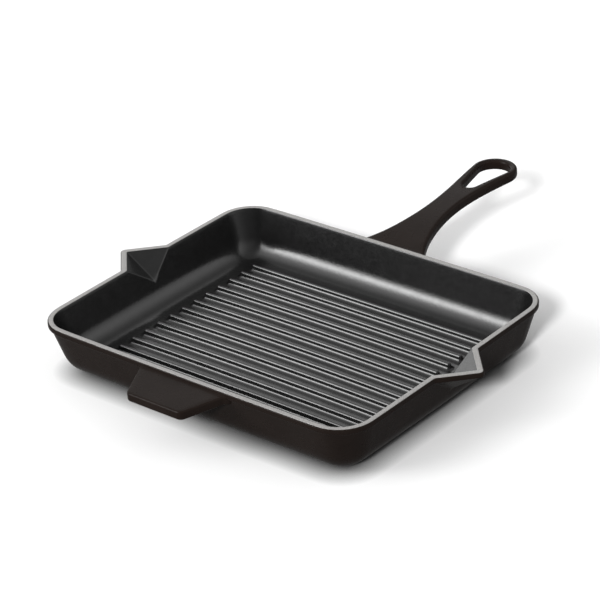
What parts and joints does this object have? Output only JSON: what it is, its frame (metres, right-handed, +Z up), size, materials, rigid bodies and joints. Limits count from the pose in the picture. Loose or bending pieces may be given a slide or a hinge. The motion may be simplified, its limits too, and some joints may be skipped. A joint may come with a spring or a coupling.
{
  "type": "grill pan",
  "caption": "Rectangular enamelled cast-iron grill pan with raised ribs, a long loop handle, a short helper handle and a pouring spout on each short side.",
  "frame": {"origin": "middle of the tray's foot, on the surface that the pan stands on", "axes": "+Z up out of the pan, +Y along the long handle, +X along the ribs from spout to spout"},
  "size_m": [0.3702, 0.4566, 0.0609],
  "materials": {
    "bare_iron": "ground grey iron, as cast where the enamel covers it",
    "inside_enamel": "satin black enamel over a rough casting",
    "outside_enamel": "smooth gloss brown-black enamel",
    "rim_enamel": "thin matt grey ground coat"
  },
  "bodies": {
    "root": {"pan_body": "bare_iron", "grill_ribs": "bare_iron", "left_pour_spout": "bare_iron", "right_pour_spout": "bare_iron", "long_handle": "bare_iron", "helper_handle": "bare_iron", "interior_enamel": "inside_enamel", "exterior_enamel": "outside_enamel", "underside_enamel": "outside_enamel", "rim_enamel": "rim_enamel"}
  },
  "joints": []
}
